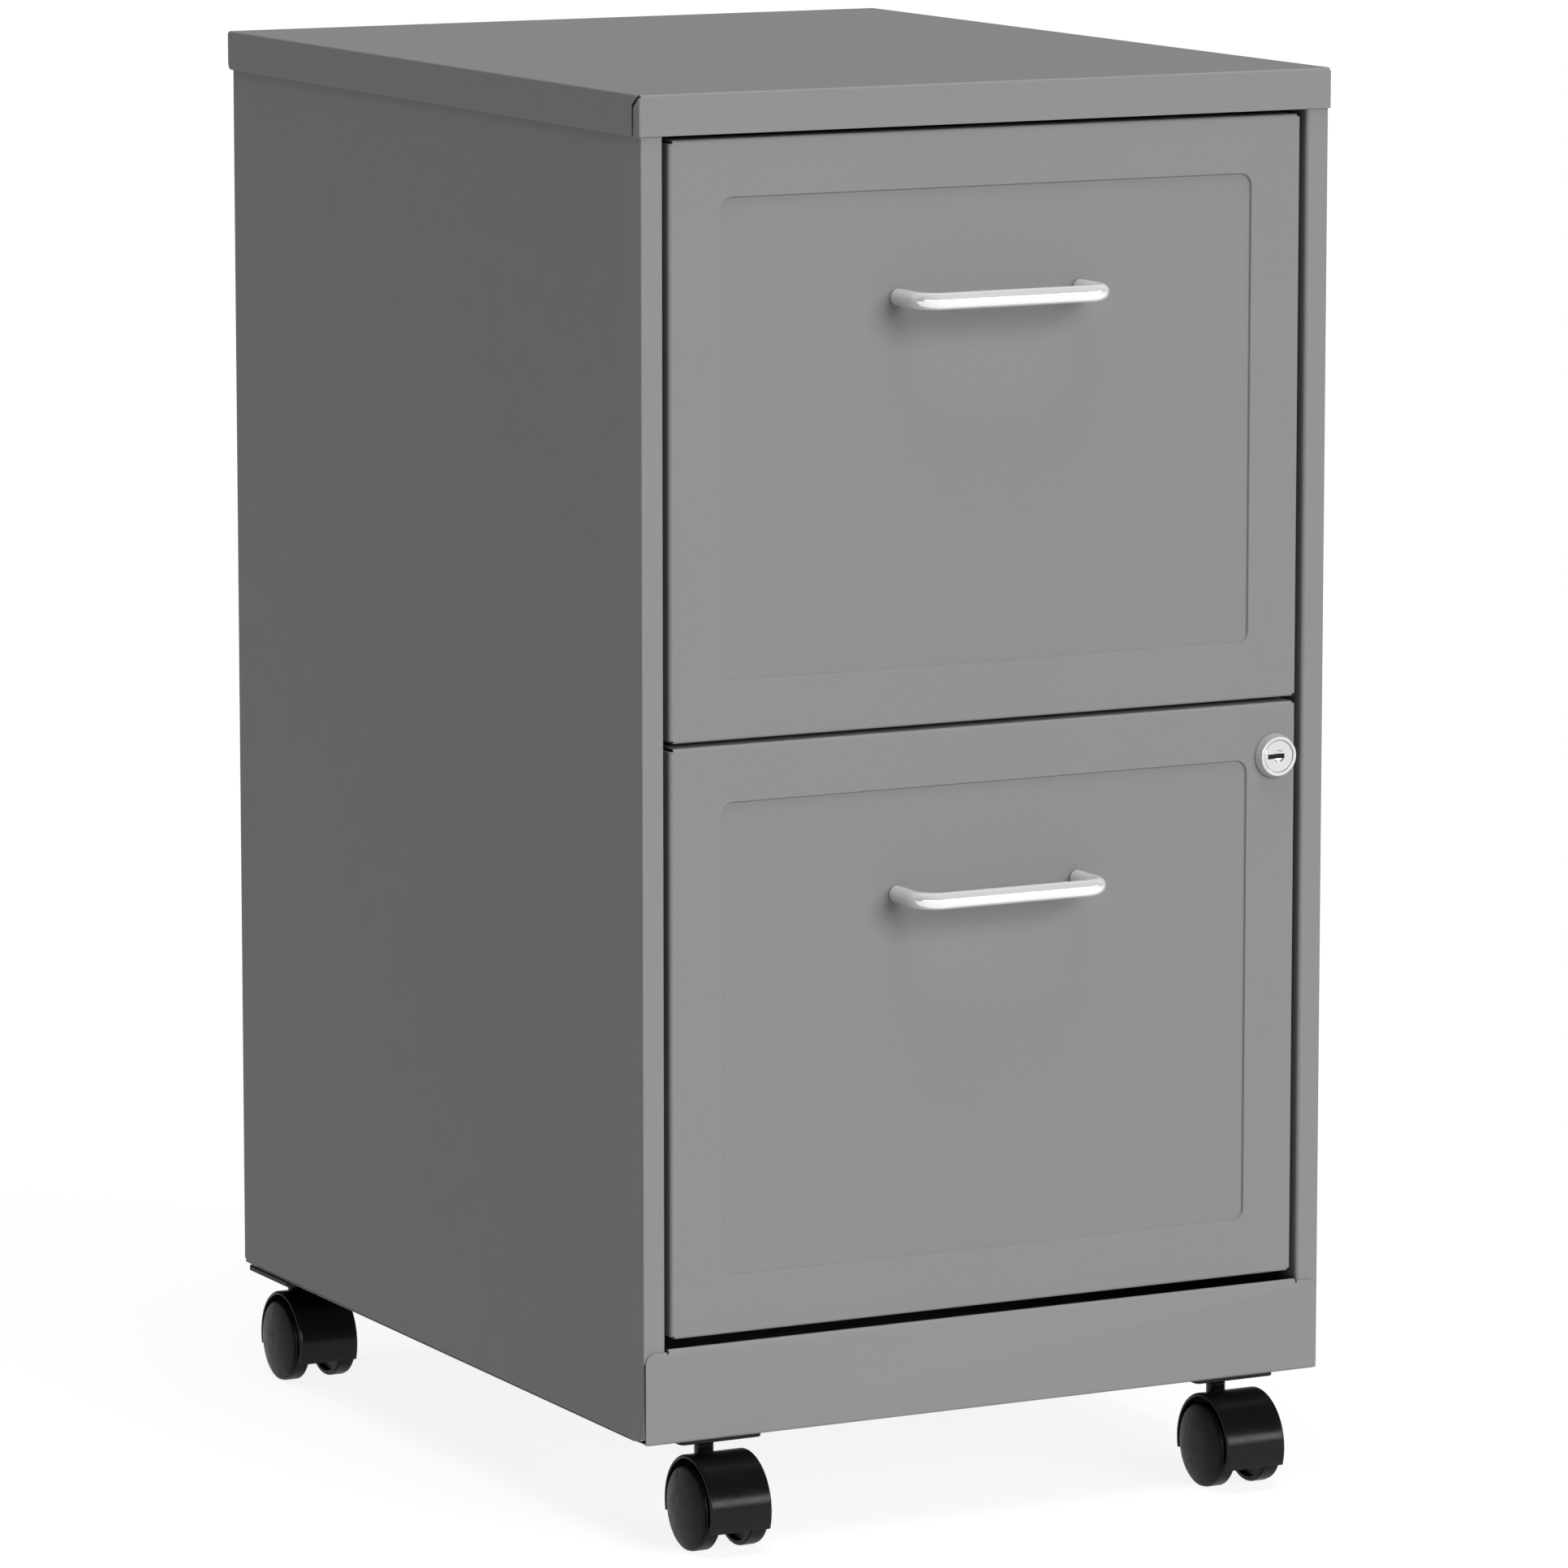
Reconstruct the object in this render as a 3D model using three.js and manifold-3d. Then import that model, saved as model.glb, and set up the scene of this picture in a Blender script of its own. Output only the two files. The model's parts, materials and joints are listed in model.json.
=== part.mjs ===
// A two-drawer steel filing cabinet on four swivelling twin-wheel casters.
// Units are millimetres. +Z is up and the drawers open towards -Y. The origin is on the floor,
// under the middle of the whole object. Left and right are as seen from the front.
import * as THREE from 'three';
import { mergeVertices } from 'three/addons/utils/BufferGeometryUtils.js';
import Module from 'manifold-3d';

const wasm = await Module();
wasm.setup();

// ---------------------------------------------------------------- driving dimensions

const WIDTH = 362; // over the top cap
const DEPTH = 457; // over the top cap, without the handles
const HEIGHT = 676; // floor to the top face
const SHEET = 0.7; // steel sheet of the case and the drawers
const GAP = 0.3; // left between pieces that rest on each other
const QUARTER = Math.PI / 2;
const GRID = 1024; // steps in a millimetre that points are rounded to, so that faces meet exactly

// Case
const CAP_FLANGE = 19; // height of the top cap's turned-down edge
const CAP_OVERHANG = 3.6; // cap behind the case's back
const STILE = 12.6; // from the case's outside to the drawer opening
const RETURN = 15; // edges turned into the case behind the stiles, which the case rails are fixed to
const SIDE_BOTTOM = 54.8;
const KICK_BOTTOM = 53.7;
const KICK_HEIGHT = 44.5;
const KICK_CORNER = 5;
const BASE_FLANGE = 12; // height of the base's turned-up edges
const BACK_PRESS = 2; // depth of the pressed field in the back

// Drawers, measured from the middle of the front's lower edge
const FRONT_WIDTH = 331;
const FRONT_HEIGHT = 275;
const FRONT_DEPTH = 16; // of the front's turned-in edges
const FRONT_RECESS = 1.5; // front face behind the top cap's front
const FRONT_GAP = 2.3; // above each drawer front
const FRONT_LIP = 8.5;
const PRESS_MARGIN = 26.3; // round the pressed field of a front
const PRESS_DEPTH = 1;
const PRESS_CORNER = 6;
const BOX_WIDTH = 311;
const BOX_DEPTH = 434; // from the front's face to the back of the box
const BOX_BOTTOM = 14;
const BOX_TOP = 252;
const BOX_FLANGE = 10.5;
const HANG_RAIL = 5; // width of the folder rail along the top of each side
const BACK_TOP = 205;
const TRAVEL = 300; // how far a drawer opens

// Drawer slides, heights measured like the drawers
const RAIL_SHEET = 1;
const RAIL_BOTTOM = 19;
const RAIL_TOP = 51;
const RAIL_INNER = 157; // inner edge of a case rail, from the middle
const RAIL_OUTER = 168.1;
const RUNNER_BOTTOM = 42;
const RUNNER_OUTER = 165.5;
const ROLLER_RADIUS = 9;
const ROLLER_WIDTH = 7;
const PIN_RADIUS = 2.5;
const PIN_HEAD = 4;
const CASE_ROLLER_Y = 30; // behind the top cap's front
const DRAWER_ROLLER_Y = 423.5; // behind the drawer front's face

// Handles
const HANDLE_SPACING = 96;
const HANDLE_HEIGHT = 199; // above the front's lower edge
const HANDLE_ROD = 4; // radius
const HANDLE_REACH = 26.5; // from the front's face to the rod's centre line
const HANDLE_BEND = 10;

// Lock, at the top right of the lower drawer
const LOCK_X = 154;
const LOCK_Z = 249.7;
const LOCK_PROUD = 4.5;
const LOCK_LENGTH = 17.5;
const LOCK_RADIUS = 8;
const PLUG_RADIUS = 5.5;
const PLUG_HEAD = 7.6; // radius of the plug's head, sunk in the barrel's flange
const PLUG_HEAD_DEPTH = 1.1;
const KEYWAY = [-5.9, 3.1]; // from the plug's middle
const KEYWAY_HEIGHT = 2.3;
const KEYWAY_DISH = [3.1, 0.9]; // radius and depth
const CAM_LENGTH = 20;
const CAM_THICKNESS = 2;

// Casters, measured from the floor below the stem
const WHEEL_RADIUS = 20;
const WHEEL_INNER = 9.45; // inner and outer side of a tread, from the caster's middle
const WHEEL_OUTER = 16.95;
const WHEEL_DOME = 2.5;
const AXLE_Y = -14.5; // the wheels trail on this side of the stem
const AXLE_RADIUS = 3;
const HOOD_RADIUS = 25;
const HOOD_SHEET = 1.8;
const HOOD_WIDTH = 31.6;
const HOOD_WEB = 14;
const BOSS_RADIUS = 4.8;
const BOSS_TOP = 46.9;
const STEM_RADIUS = 3.85;
const PLATE_SHEET = 2.5;
const FRONT_CASTER = [137.5, 23.5]; // stem, from the middle and behind the top cap's front
const REAR_CASTER = [160, 433.5];

// ---------------------------------------------------------------- worked out from those

const HANDLE_PROUD = HANDLE_REACH + HANDLE_ROD - FRONT_RECESS;
const FRONT = HANDLE_PROUD - (DEPTH + HANDLE_PROUD) / 2; // front of the top cap
const BACK = FRONT + DEPTH;
const CASE_FRONT = FRONT + SHEET + GAP;
const CASE_BACK = BACK - CAP_OVERHANG;
const CASE_X = WIDTH / 2 - SHEET - GAP; // outside of the side panels
const OPENING_X = WIDTH / 2 - STILE;
const CASE_TOP = HEIGHT - SHEET - GAP;
const UPPER_DRAWER_Z = HEIGHT - CAP_FLANGE - FRONT_GAP - FRONT_HEIGHT;
const LOWER_DRAWER_Z = UPPER_DRAWER_Z - FRONT_GAP - FRONT_HEIGHT;
const BOX_X = BOX_WIDTH / 2;
const BOX_FRONT = FRONT_DEPTH + GAP;
const BORE = PIN_RADIUS + GAP;
const PLATE_TOP = KICK_BOTTOM - GAP;

// ---------------------------------------------------------------- shapes

// Turns a three.js geometry into a closed solid that can be joined and cut.
function solid(geometry) {
  const bare = geometry.clone();
  bare.deleteAttribute('normal');
  bare.deleteAttribute('uv');
  const points = bare.attributes.position;
  for (let i = 0; i < points.array.length; i += 1) {
    points.array[i] = Math.round(points.array[i] * GRID) / GRID;
  }
  const merged = mergeVertices(bare, 1e-4);
  const corners = merged.index.array;
  const triangles = [];
  for (let i = 0; i < corners.length; i += 3) {
    const [a, b, c] = corners.slice(i, i + 3);
    if (a !== b && b !== c && c !== a) triangles.push(a, b, c);
  }
  const build = (order) => new wasm.Manifold(new wasm.Mesh({
    numProp: 3,
    vertProperties: new Float32Array(merged.attributes.position.array),
    triVerts: new Uint32Array(order),
  }));
  const made = build(triangles);
  return made.volume() > 0 ? made : build(triangles.reverse());
}

function join(...solids) {
  return solids.reduce((whole, next) => whole.add(next));
}

function cut(body, ...tools) {
  return body.subtract(join(...tools));
}

// A block between two x, two y and two z values, given in either order.
function block(...spans) {
  const size = spans.map(([a, b]) => Math.abs(b - a));
  const centre = spans.map(([a, b]) => (a + b) / 2);
  return solid(new THREE.BoxGeometry(...size).translate(...centre));
}

// An outline pushed along an axis. It is drawn in (y, z) for axis x, (x, z) for y and (x, y) for z.
function extrude(outline, axis, [from, to], curveSegments = 3) {
  const X = new THREE.Vector3(1, 0, 0);
  const Y = new THREE.Vector3(0, 1, 0);
  const Z = new THREE.Vector3(0, 0, 1);
  const geometry = new THREE.ExtrudeGeometry(outline, {
    depth: to - from,
    bevelEnabled: false,
    curveSegments,
  });
  const turn = new THREE.Matrix4();
  if (axis === 'x') turn.makeBasis(Y, Z, X).setPosition(from, 0, 0);
  if (axis === 'y') turn.makeBasis(X, Z, Y.negate()).setPosition(0, to, 0);
  if (axis === 'z') turn.setPosition(0, 0, from);
  return solid(geometry.applyMatrix4(turn));
}

// A profile of [radius, distance along the axis] points, turned round an axis through a centre.
function revolve(profile, axis, centre = [0, 0, 0], sides = 20) {
  const points = profile.map(([radius, along]) => new THREE.Vector2(radius, along));
  const geometry = new THREE.LatheGeometry(points, sides);
  if (axis === 'x') geometry.rotateZ(-QUARTER);
  if (axis === 'z') geometry.rotateX(QUARTER);
  return solid(geometry.translate(...centre));
}

function rod(radius, axis, [from, to], centre, sides = 16) {
  const profile = [[0, from], [radius, from], [radius, to], [0, to]];
  return revolve(profile, axis, centre, sides);
}

function ring(outer, inner, axis, [from, to], centre) {
  const profile = [[inner, from], [outer, from], [outer, to], [inner, to], [inner, from]];
  return revolve(profile, axis, centre);
}

function roundedRectangle([x0, x1], [y0, y1], radius) {
  const shape = new THREE.Shape();
  shape.absarc(x1 - radius, y0 + radius, radius, -QUARTER, 0);
  shape.absarc(x1 - radius, y1 - radius, radius, 0, QUARTER);
  shape.absarc(x0 + radius, y1 - radius, radius, QUARTER, 2 * QUARTER);
  shape.absarc(x0 + radius, y0 + radius, radius, 2 * QUARTER, 3 * QUARTER);
  return shape;
}

// Presses a rounded field of an upright sheet back by a depth, its wall as thick as the sheet.
// The sheet's outer face is at y = face, and inward is 1 where it faces -Y and -1 where it faces +Y.
function press(sheet, x, z, corner, face, inward, depth) {
  const grown = ([a, b]) => [a - SHEET, b + SHEET];
  const deep = face + inward * (SHEET + depth);
  const floor = face + inward * depth;
  const clear = face - inward;
  const sorted = (a, b) => [Math.min(a, b), Math.max(a, b)];
  const boss = roundedRectangle(grown(x), grown(z), corner + SHEET);
  const pocket = roundedRectangle(x, z, corner);
  return cut(
    join(sheet, extrude(boss, 'y', sorted(face, deep))),
    extrude(pocket, 'y', sorted(clear, floor)),
  );
}

// ---------------------------------------------------------------- finishes

const FINISHES = {
  grey_paint: { color: 0x8c8b8b, roughness: 0.55, metalness: 0 },
  black_paint: { color: 0x1b1b1c, roughness: 0.5, metalness: 0 },
  zinc: { color: 0xb4b5b3, roughness: 0.4, metalness: 1 },
  chrome: { color: 0xe6e6e6, roughness: 0.08, metalness: 1 },
  nickel: { color: 0xd9d9d7, roughness: 0.25, metalness: 1 },
  hood_plastic: { color: 0x0d0d0e, roughness: 0.15, metalness: 0 },
  wheel_plastic: { color: 0x141415, roughness: 0.4, metalness: 0 },
  nylon: { color: 0xe9e8e2, roughness: 0.45, metalness: 0 },
};

function piece(name, shape, finish) {
  const { vertProperties, triVerts } = shape.getMesh();
  const geometry = new THREE.BufferGeometry();
  geometry.setAttribute('position', new THREE.BufferAttribute(vertProperties, 3));
  geometry.setIndex(new THREE.BufferAttribute(triVerts, 1));
  const material = new THREE.MeshStandardMaterial({ ...FINISHES[finish], flatShading: true });
  const mesh = new THREE.Mesh(geometry, material);
  mesh.name = name;
  return mesh;
}

// ---------------------------------------------------------------- case

function topCap() {
  const x = WIDTH / 2;
  return cut(
    block([-x, x], [FRONT, BACK], [HEIGHT - CAP_FLANGE, HEIGHT]),
    block([SHEET - x, x - SHEET], [FRONT + SHEET, BACK - SHEET], [0, HEIGHT - SHEET]),
  );
}

// One sheet: the side itself, the front stile, the back flange, their returns and a foot flange.
function sidePanel(side) {
  const outer = side * CASE_X;
  const inner = side * OPENING_X;
  const wholeHeight = [SIDE_BOTTOM, CASE_TOP];
  const returnWall = [inner, inner + side * SHEET];
  const foot = [CASE_FRONT + RETURN + 1, CASE_BACK - RETURN - 1];
  return join(
    block([outer, outer - side * SHEET], [CASE_FRONT, CASE_BACK], wholeHeight),
    block([inner, outer], [CASE_FRONT, CASE_FRONT + SHEET], wholeHeight),
    block([inner, outer], [CASE_BACK - SHEET, CASE_BACK], wholeHeight),
    block(returnWall, [CASE_FRONT, CASE_FRONT + RETURN], wholeHeight),
    block(returnWall, [CASE_BACK - RETURN, CASE_BACK], wholeHeight),
    block([inner, outer], foot, [SIDE_BOTTOM, SIDE_BOTTOM + SHEET]),
  );
}

// A sheet behind the sides' back flanges that ends just below the cap's edge.
function backPanel() {
  const x = CASE_X - 4;
  const y = CASE_BACK + GAP;
  const sheet = block([-x, x], [y, y + SHEET], [SIDE_BOTTOM, HEIGHT - CAP_FLANGE - 1]);
  return press(sheet, [-130, 130], [130, 600], 12, y + SHEET, -1, BACK_PRESS);
}

// The plate laps over the stiles, where its top edge is a little lower than in the opening.
function kickPlate() {
  const x = CASE_X - 0.9;
  const top = KICK_BOTTOM + KICK_HEIGHT;
  const lapTop = top - 1;
  const hem = OPENING_X - 1.5;
  const r = KICK_CORNER;
  const outline = new THREE.Shape();
  outline.moveTo(-x, KICK_BOTTOM);
  outline.lineTo(x, KICK_BOTTOM);
  outline.absarc(x - r, lapTop - r, r, 0, QUARTER);
  outline.lineTo(OPENING_X + 1, lapTop);
  outline.lineTo(OPENING_X, top);
  outline.lineTo(-OPENING_X, top);
  outline.lineTo(-OPENING_X - 1, lapTop);
  outline.absarc(r - x, lapTop - r, r, QUARTER, 2 * QUARTER);
  return join(
    extrude(outline, 'y', [FRONT, FRONT + SHEET]),
    block([-hem, hem], [FRONT, FRONT + 3], [top - SHEET, top]),
    block([-hem, hem], [FRONT + 3 - SHEET, FRONT + 3], [top - 8, top]),
    block([2 - x, x - 2], [FRONT, FRONT + 10], [KICK_BOTTOM, KICK_BOTTOM + SHEET]),
  );
}

// A sheet that closes the underside over the caster plates, its front and rear edges turned up.
function basePanel() {
  const [y0, y1] = [FRONT + 12, CASE_BACK - 5];
  const long = CASE_X - SHEET - 0.5;
  const short = OPENING_X - 1;
  const z = KICK_BOTTOM;
  return join(
    block([-long, long], [y0, y1], [z, z + SHEET]),
    block([-short, short], [y0, y0 + SHEET], [z, z + BASE_FLANGE]),
    block([-short, short], [y1 - SHEET, y1], [z, z + BASE_FLANGE]),
  );
}

// A caster's top plate with its collar and the stem that the hood turns on.
function casterPlate([x0, x1], [y0, y1], [stemX, stemY]) {
  const bottom = PLATE_TOP - PLATE_SHEET;
  const centre = [stemX, stemY, 0];
  return join(
    extrude(roundedRectangle([x0, x1], [y0, y1], 3), 'z', [bottom, PLATE_TOP]),
    rod(6.2, 'z', [bottom - 3.9, PLATE_TOP - 1], centre),
    rod(STEM_RADIUS, 'z', [28, PLATE_TOP - 1], centre),
  );
}

// ---------------------------------------------------------------- drawer slides

// A riveted pin for a roller, from a wall out along x: a shoulder, the pin and its head.
function rollerPin(wall, direction, y, z) {
  const centre = [wall, y, z];
  const span = (a, b) => [direction * a, direction * b].sort((p, q) => p - q);
  const rollerEnd = 1.7 + GAP + ROLLER_WIDTH + GAP;
  return join(
    rod(PIN_HEAD, 'x', span(-0.5, 1.7), centre, 12),
    rod(PIN_RADIUS, 'x', span(0, rollerEnd + 0.7), centre, 12),
    rod(PIN_HEAD, 'x', span(rollerEnd, rollerEnd + 0.7), centre, 12),
  );
}

function roller(wall, direction, y, z) {
  const near = wall + direction * (1.7 + GAP);
  const far = near + direction * ROLLER_WIDTH;
  return ring(ROLLER_RADIUS, BORE, 'x', [Math.min(near, far), Math.max(near, far)], [0, y, z]);
}

const CASE_ROLLER_Z = RUNNER_BOTTOM - GAP - ROLLER_RADIUS;
const DRAWER_ROLLER_Z = RAIL_BOTTOM + RAIL_SHEET + GAP + ROLLER_RADIUS;

// A channel along the case with the front roller's pin, a tab that stops the open drawer's roller
// and one that stops it when the drawer shuts.
function caseRail(side, drawerZ) {
  const web = side * RAIL_OUTER;
  const inside = web - side * RAIL_SHEET;
  const inner = side * RAIL_INNER;
  const flange = [FRONT + 20, CASE_BACK - 4];
  const floor = drawerZ + RAIL_BOTTOM;
  const top = drawerZ + RAIL_TOP;
  const shutStop = FRONT + FRONT_RECESS + DRAWER_ROLLER_Y + ROLLER_RADIUS + 0.6;
  const openStop = shutStop - TRAVEL - 2 * ROLLER_RADIUS - 1.2;
  return join(
    block([web, inside], [FRONT + 12, CASE_BACK - 4], [floor, top]),
    block([web, inner], flange, [floor, floor + RAIL_SHEET]),
    block([web, inner], flange, [top - RAIL_SHEET, top]),
    block([web, inner], [shutStop, shutStop + RAIL_SHEET], [floor, floor + 8]),
    block([web, inner], [openStop - RAIL_SHEET, openStop], [floor, floor + 6]),
    rollerPin(inside, -side, FRONT + CASE_ROLLER_Y, drawerZ + CASE_ROLLER_Z),
  );
}

// ---------------------------------------------------------------- drawer box

function drawerFront(locking) {
  const x = FRONT_WIDTH / 2;
  const lip = (side, top) => block(
    [side * x, side * (x - FRONT_LIP)],
    [FRONT_DEPTH - SHEET, FRONT_DEPTH],
    [BOX_BOTTOM, top],
  );
  const tray = cut(
    block([-x, x], [0, FRONT_DEPTH], [0, FRONT_HEIGHT]),
    block([SHEET - x, x - SHEET], [SHEET, FRONT_DEPTH + 1], [SHEET, FRONT_HEIGHT - SHEET]),
  );
  const pressed = press(
    join(tray, lip(-1, BOX_TOP), lip(1, locking ? LOCK_Z - 14 : BOX_TOP)),
    [PRESS_MARGIN - x, x - PRESS_MARGIN],
    [PRESS_MARGIN, FRONT_HEIGHT - PRESS_MARGIN],
    PRESS_CORNER,
    0,
    1,
    PRESS_DEPTH,
  );
  const screwHole = (side) => rod(
    2.4,
    'y',
    [-1, 3],
    [side * HANDLE_SPACING / 2, 0, HANDLE_HEIGHT],
    12,
  );
  const drilled = cut(pressed, screwHole(-1), screwHole(1));
  return locking ? cut(drilled, lockRod(LOCK_RADIUS + GAP, [-1, 3])) : drilled;
}

// One sheet with a welded runner: front flange, foot flange, back flange and a folder rail on top.
function drawerSide(side, locking) {
  const outer = side * BOX_X;
  const inner = outer - side * SHEET;
  const flangeEdge = outer - side * BOX_FLANGE;
  const railEdge = side * (BOX_X + HANG_RAIL);
  const frontEdge = side * (FRONT_WIDTH / 2 - 1);
  const length = [BOX_FRONT, BOX_DEPTH];
  const height = [BOX_BOTTOM, BOX_TOP];
  const made = join(
    block([outer, inner], length, height),
    block([inner, frontEdge], [BOX_FRONT, BOX_FRONT + SHEET], height),
    block([outer, flangeEdge], length, [BOX_BOTTOM, BOX_BOTTOM + SHEET]),
    block([outer, flangeEdge], [BOX_DEPTH - SHEET, BOX_DEPTH], [BOX_BOTTOM, BACK_TOP]),
    block([inner, railEdge], length, [BOX_TOP - SHEET, BOX_TOP]),
    block([railEdge, railEdge - side * SHEET], length, [BOX_TOP - HANG_RAIL, BOX_TOP]),
    block([inner, side * RUNNER_OUTER], length, [RUNNER_BOTTOM, RUNNER_BOTTOM + RAIL_SHEET]),
    rollerPin(outer, side, DRAWER_ROLLER_Y, DRAWER_ROLLER_Z),
  );
  if (!locking) return made;
  return cut(made, block([side * 140, side * 170], [0, 34], [LOCK_Z - 30, BOX_TOP + 1]));
}

function drawerBottom() {
  const x = BOX_X - SHEET - GAP;
  const z = BOX_BOTTOM + SHEET + GAP;
  return join(
    block([-x, x], [1.3, BOX_DEPTH - 2], [z, z + SHEET]),
    block([-x, x], [1.3, 1.3 + SHEET], [4, z + SHEET]),
  );
}

function drawerBack() {
  const x = BOX_X - SHEET - GAP;
  const y = BOX_DEPTH - SHEET - GAP;
  return join(
    block([-x, x], [y - SHEET, y], [BOX_BOTTOM + 2 * (SHEET + GAP), BACK_TOP]),
    block([-x, x], [y - 9, y], [BACK_TOP - SHEET, BACK_TOP]),
  );
}

// A bent rod with a threaded end behind each foot.
function handle() {
  const foot = PRESS_DEPTH - GAP;
  const half = HANDLE_SPACING / 2;
  const ease = HANDLE_BEND * 0.5523; // makes the curve a quarter circle
  const at = (x, y) => new THREE.Vector3(x, y, HANDLE_HEIGHT);
  const bendStart = HANDLE_BEND - HANDLE_REACH;
  const path = new THREE.CurvePath();
  path.add(new THREE.LineCurve3(at(-half, foot), at(-half, bendStart)));
  path.add(new THREE.CubicBezierCurve3(
    at(-half, bendStart),
    at(-half, bendStart - ease),
    at(HANDLE_BEND - half - ease, -HANDLE_REACH),
    at(HANDLE_BEND - half, -HANDLE_REACH),
  ));
  path.add(new THREE.LineCurve3(
    at(HANDLE_BEND - half, -HANDLE_REACH),
    at(half - HANDLE_BEND, -HANDLE_REACH),
  ));
  path.add(new THREE.CubicBezierCurve3(
    at(half - HANDLE_BEND, -HANDLE_REACH),
    at(half - HANDLE_BEND + ease, -HANDLE_REACH),
    at(half, bendStart - ease),
    at(half, bendStart),
  ));
  path.add(new THREE.LineCurve3(at(half, bendStart), at(half, foot)));
  const section = new THREE.Shape().absarc(0, 0, HANDLE_ROD, 0, 4 * QUARTER);
  const bent = solid(new THREE.ExtrudeGeometry(section, {
    steps: 36,
    curveSegments: 5,
    bevelEnabled: false,
    extrudePath: path,
  }));
  const thread = (side) => rod(2.3, 'y', [-12, 2], [side * half, 0, HANDLE_HEIGHT], 12);
  return cut(bent, thread(-1), thread(1));
}

// A slotted pan-head screw along y, with the underside of its head at y = 0.
function screw(headRadius, shankLength) {
  return cut(
    join(
      rod(headRadius, 'y', [0, 2.2]),
      rod(2, 'y', [-shankLength, 1], [0, 0, 0], 12),
    ),
    block([-headRadius - 1, headRadius + 1], [1.2, 3], [-0.5, 0.5]),
  );
}

// ---------------------------------------------------------------- lock

function lockRod(radius, span) {
  return rod(radius, 'y', span, [LOCK_X, 0, LOCK_Z], 24);
}

function lockBarrel() {
  const sink = PLUG_HEAD_DEPTH + 2 * GAP - LOCK_PROUD;
  const profile = [
    [PLUG_RADIUS + GAP, sink],
    [PLUG_HEAD + GAP, sink],
    [PLUG_HEAD + GAP, -LOCK_PROUD],
    [9.15, -LOCK_PROUD],
    [10.65, -GAP],
    [LOCK_RADIUS, -GAP],
    [LOCK_RADIUS, LOCK_LENGTH],
    [PLUG_RADIUS + GAP, LOCK_LENGTH],
    [PLUG_RADIUS + GAP, sink],
  ];
  return revolve(profile, 'y', [LOCK_X, 0, LOCK_Z], 24);
}

function lockNut() {
  const acrossFlats = 20.4;
  const corner = acrossFlats / 2 / Math.cos(Math.PI / 6);
  const corners = [0, 1, 2, 3, 4, 5].map((i) => {
    const angle = QUARTER + (i * Math.PI) / 3;
    return new THREE.Vector2(LOCK_X + corner * Math.cos(angle), LOCK_Z + corner * Math.sin(angle));
  });
  const hexagon = new THREE.Shape(corners);
  const front = SHEET + GAP;
  return cut(extrude(hexagon, 'y', [front, front + 4]), lockRod(LOCK_RADIUS + GAP, [0, 9]));
}

const CAM_FRONT = LOCK_LENGTH + 2 * GAP;
const CAM_BACK = CAM_FRONT + CAM_THICKNESS;
const PLUG_SQUARE = 3; // half the width of the square that drives the cam

// The part that the key turns: a round plug with a wide head, a keyway and a square end.
function lockPlug() {
  const face = GAP - LOCK_PROUD;
  const [dishRadius, dishDepth] = KEYWAY_DISH;
  const keywayX = [LOCK_X + KEYWAY[0], LOCK_X + KEYWAY[1]];
  const keywayZ = [LOCK_Z - KEYWAY_HEIGHT / 2, LOCK_Z + KEYWAY_HEIGHT / 2];
  const square = (half, y) => block([LOCK_X - half, LOCK_X + half], y, [LOCK_Z - half, LOCK_Z + half]);
  return cut(
    join(
      lockRod(PLUG_HEAD, [face, face + PLUG_HEAD_DEPTH]),
      lockRod(PLUG_RADIUS, [face + PLUG_HEAD_DEPTH - 0.5, LOCK_LENGTH + GAP]),
      square(PLUG_SQUARE, [LOCK_LENGTH - 1, CAM_BACK + 0.5]),
    ),
    block(keywayX, [-LOCK_PROUD, 4], keywayZ),
    lockRod(dishRadius, [-LOCK_PROUD, face + dishDepth]),
    rod(2.3, 'y', [10, CAM_BACK + 2], [LOCK_X, 0, LOCK_Z], 12),
  );
}

// It hangs down when the lock is open and turns out behind the right stile.
function lockCam() {
  const hole = PLUG_SQUARE + GAP;
  const bar = roundedRectangle([LOCK_X - 6.5, LOCK_X + 6.5], [LOCK_Z - CAM_LENGTH, LOCK_Z + 6.5], 5);
  return cut(
    extrude(bar, 'y', [CAM_FRONT, CAM_BACK]),
    block([LOCK_X - hole, LOCK_X + hole], [0, 40], [LOCK_Z - hole, LOCK_Z + hole]),
  );
}

// ---------------------------------------------------------------- casters

// A wheel along x with its flat side towards the caster's middle and a domed cover outside.
function wheel(side) {
  const across = (radius) => WHEEL_OUTER + WHEEL_DOME * (1 - (radius / 19.4) ** 2);
  const profile = [
    [0, 15],
    [AXLE_RADIUS + GAP, 15],
    [AXLE_RADIUS + GAP, 8.2],
    [6.5, 8.2],
    [6.5, 12.5],
    [17.5, 12.5],
    [17.5, WHEEL_INNER],
    [WHEEL_RADIUS, WHEEL_INNER],
    [WHEEL_RADIUS, WHEEL_OUTER - 0.8],
    ...[19.4, 12, 0].map((radius) => [radius, across(radius)]),
  ];
  const sided = profile.map(([radius, x]) => [radius, side * x]);
  return revolve(sided, 'x', [0, AXLE_Y, WHEEL_RADIUS]);
}

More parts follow.
